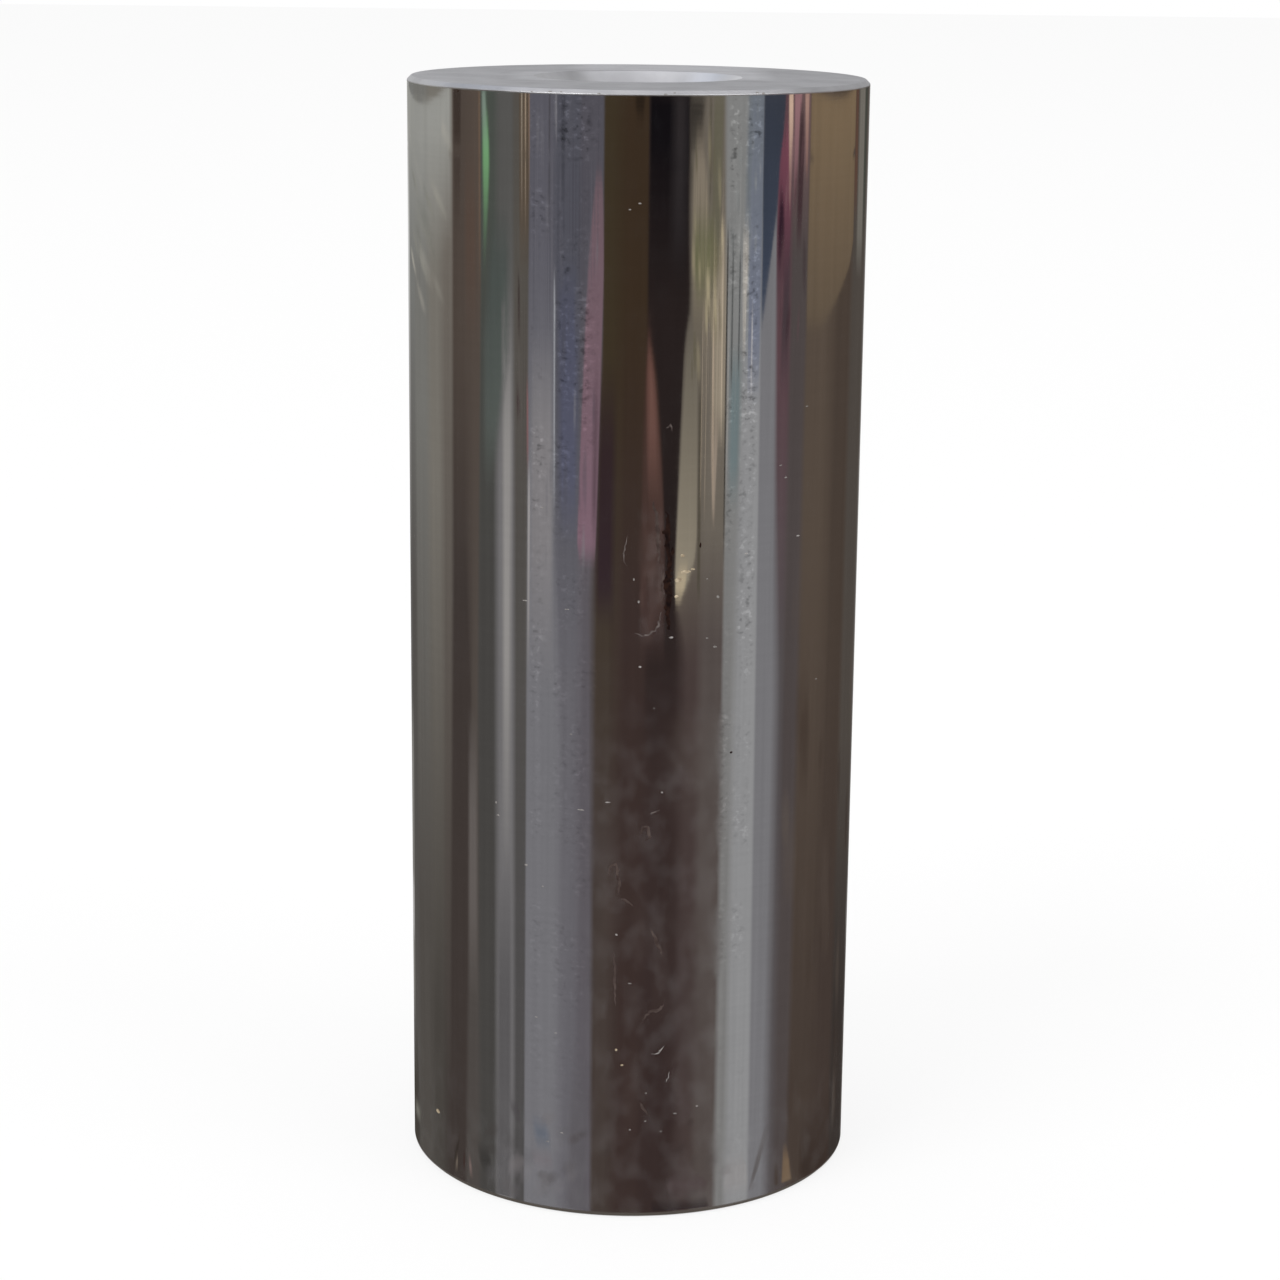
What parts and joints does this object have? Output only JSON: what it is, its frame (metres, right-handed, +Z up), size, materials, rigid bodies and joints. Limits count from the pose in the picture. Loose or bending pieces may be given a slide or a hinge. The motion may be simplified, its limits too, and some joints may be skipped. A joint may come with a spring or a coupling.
{
  "type": "piston pin",
  "caption": "Hollow ground steel piston pin with a straight through bore, flat end faces and chamfered edges.",
  "frame": {"origin": "on the pin's axis at the lower end face", "axes": "+Z up the pin's axis, from the lower end face to the upper one"},
  "size_m": [0.04, 0.04, 0.0975],
  "materials": {
    "ground_steel": "ground outside, turned satin end faces, plain bore, a few dark stains and light nicks"
  },
  "bodies": {
    "root": {"piston_pin": "ground_steel"}
  },
  "joints": []
}
